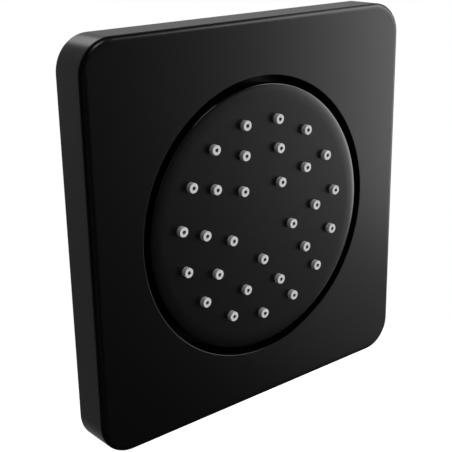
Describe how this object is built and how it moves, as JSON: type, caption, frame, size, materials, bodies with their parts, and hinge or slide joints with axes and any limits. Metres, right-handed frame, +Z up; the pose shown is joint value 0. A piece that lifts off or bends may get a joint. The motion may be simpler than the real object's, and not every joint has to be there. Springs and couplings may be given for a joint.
{
  "type": "shower body jet",
  "caption": "Square rounded wall plate with a round spray head set in its well; the head tilts and turns on a ball joint behind the plate, fed by a male pipe stem.",
  "frame": {"origin": "on the inlet axis in the plane of the wall, at the centre of the four wall screws", "axes": "+Y into the wall along the inlet, +Z up, the spray face looks along -Y"},
  "size_m": [0.12, 0.0475, 0.12],
  "materials": {
    "satin_black_metal": "satin black coating",
    "satin_black_plastic": "satin black moulding",
    "black_plastic": "matt black moulding",
    "grey_silicone": "matt light grey silicone",
    "black_rubber": "matt black rubber",
    "white_plastic": "white moulding",
    "brass": "turned brass",
    "chrome": "polished plating",
    "steel": "brushed stainless sheet"
  },
  "bodies": {
    "wall_fitting": {"cover_plate": "satin_black_metal", "rim_gasket": "black_rubber", "mounting_plate": "steel", "wall_screws": "steel", "inlet_body": "brass", "inlet_seal": "black_rubber", "flow_limiter": "white_plastic", "limiter_ring": "black_rubber", "strainer": "steel", "gland_nut": "brass", "ball_oring": "black_rubber"},
    "rear_seat": {"rear_ball_seat": "white_plastic"},
    "front_seat": {"front_ball_seat": "white_plastic"},
    "spray_head": {"ball_stem": "chrome", "stem_oring": "black_rubber", "stem_insert": "brass", "head_back": "black_plastic", "nozzle_mat": "grey_silicone", "spray_face": "satin_black_plastic", "head_screws": "steel"}
  },
  "joints": [
    {"name": "tilt_up_down", "type": "hinge", "parent": "wall_fitting", "child": "rear_seat", "pos_m": [0, 0.00538, 0], "axis": [1, 0, 0], "range_deg": [-6, 6]},
    {"name": "tilt_sideways", "type": "hinge", "parent": "rear_seat", "child": "front_seat", "pos_m": [0, 0.00538, 0], "axis": [0, 0, 1], "range_deg": [-6, 6]},
    {"name": "spin", "type": "hinge", "parent": "front_seat", "child": "spray_head", "pos_m": [0, 0.00538, 0], "axis": [0, 1, 0], "continuous": true}
  ]
}
